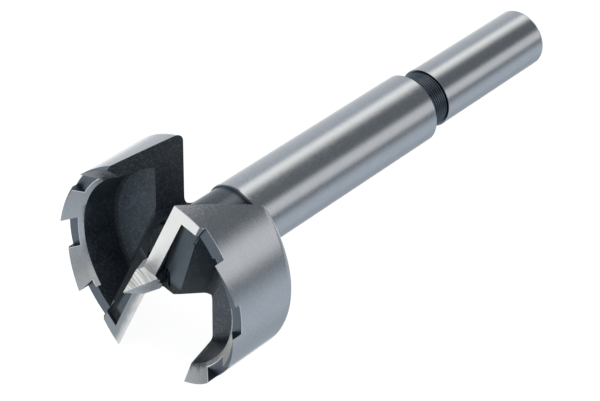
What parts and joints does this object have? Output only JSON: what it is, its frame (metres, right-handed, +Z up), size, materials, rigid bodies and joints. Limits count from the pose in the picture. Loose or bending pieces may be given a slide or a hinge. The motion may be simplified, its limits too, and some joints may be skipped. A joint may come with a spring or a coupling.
{
  "type": "forstner bit",
  "caption": "Saw-toothed forstner bit with a centre point, hooked cutting lips, chip gullets and a straight round shank, for boring flat-bottomed holes in wood.",
  "frame": {"origin": "bottom centre of the bounding box of the tool as it lies at rest on a flat surface", "axes": "+Z up; +X along the tool's length toward the shank, seen from above; the tool's own axis dips toward the shank's end; +Y completes the right-handed frame"},
  "size_m": [0.0928, 0.035, 0.0341],
  "materials": {
    "steel": "ground steel on the rim, body, shank, lips and teeth; dark forged steel in the hollows and on the wings' ends"
  },
  "bodies": {
    "root": {"forstner_bit": "steel"}
  },
  "joints": []
}
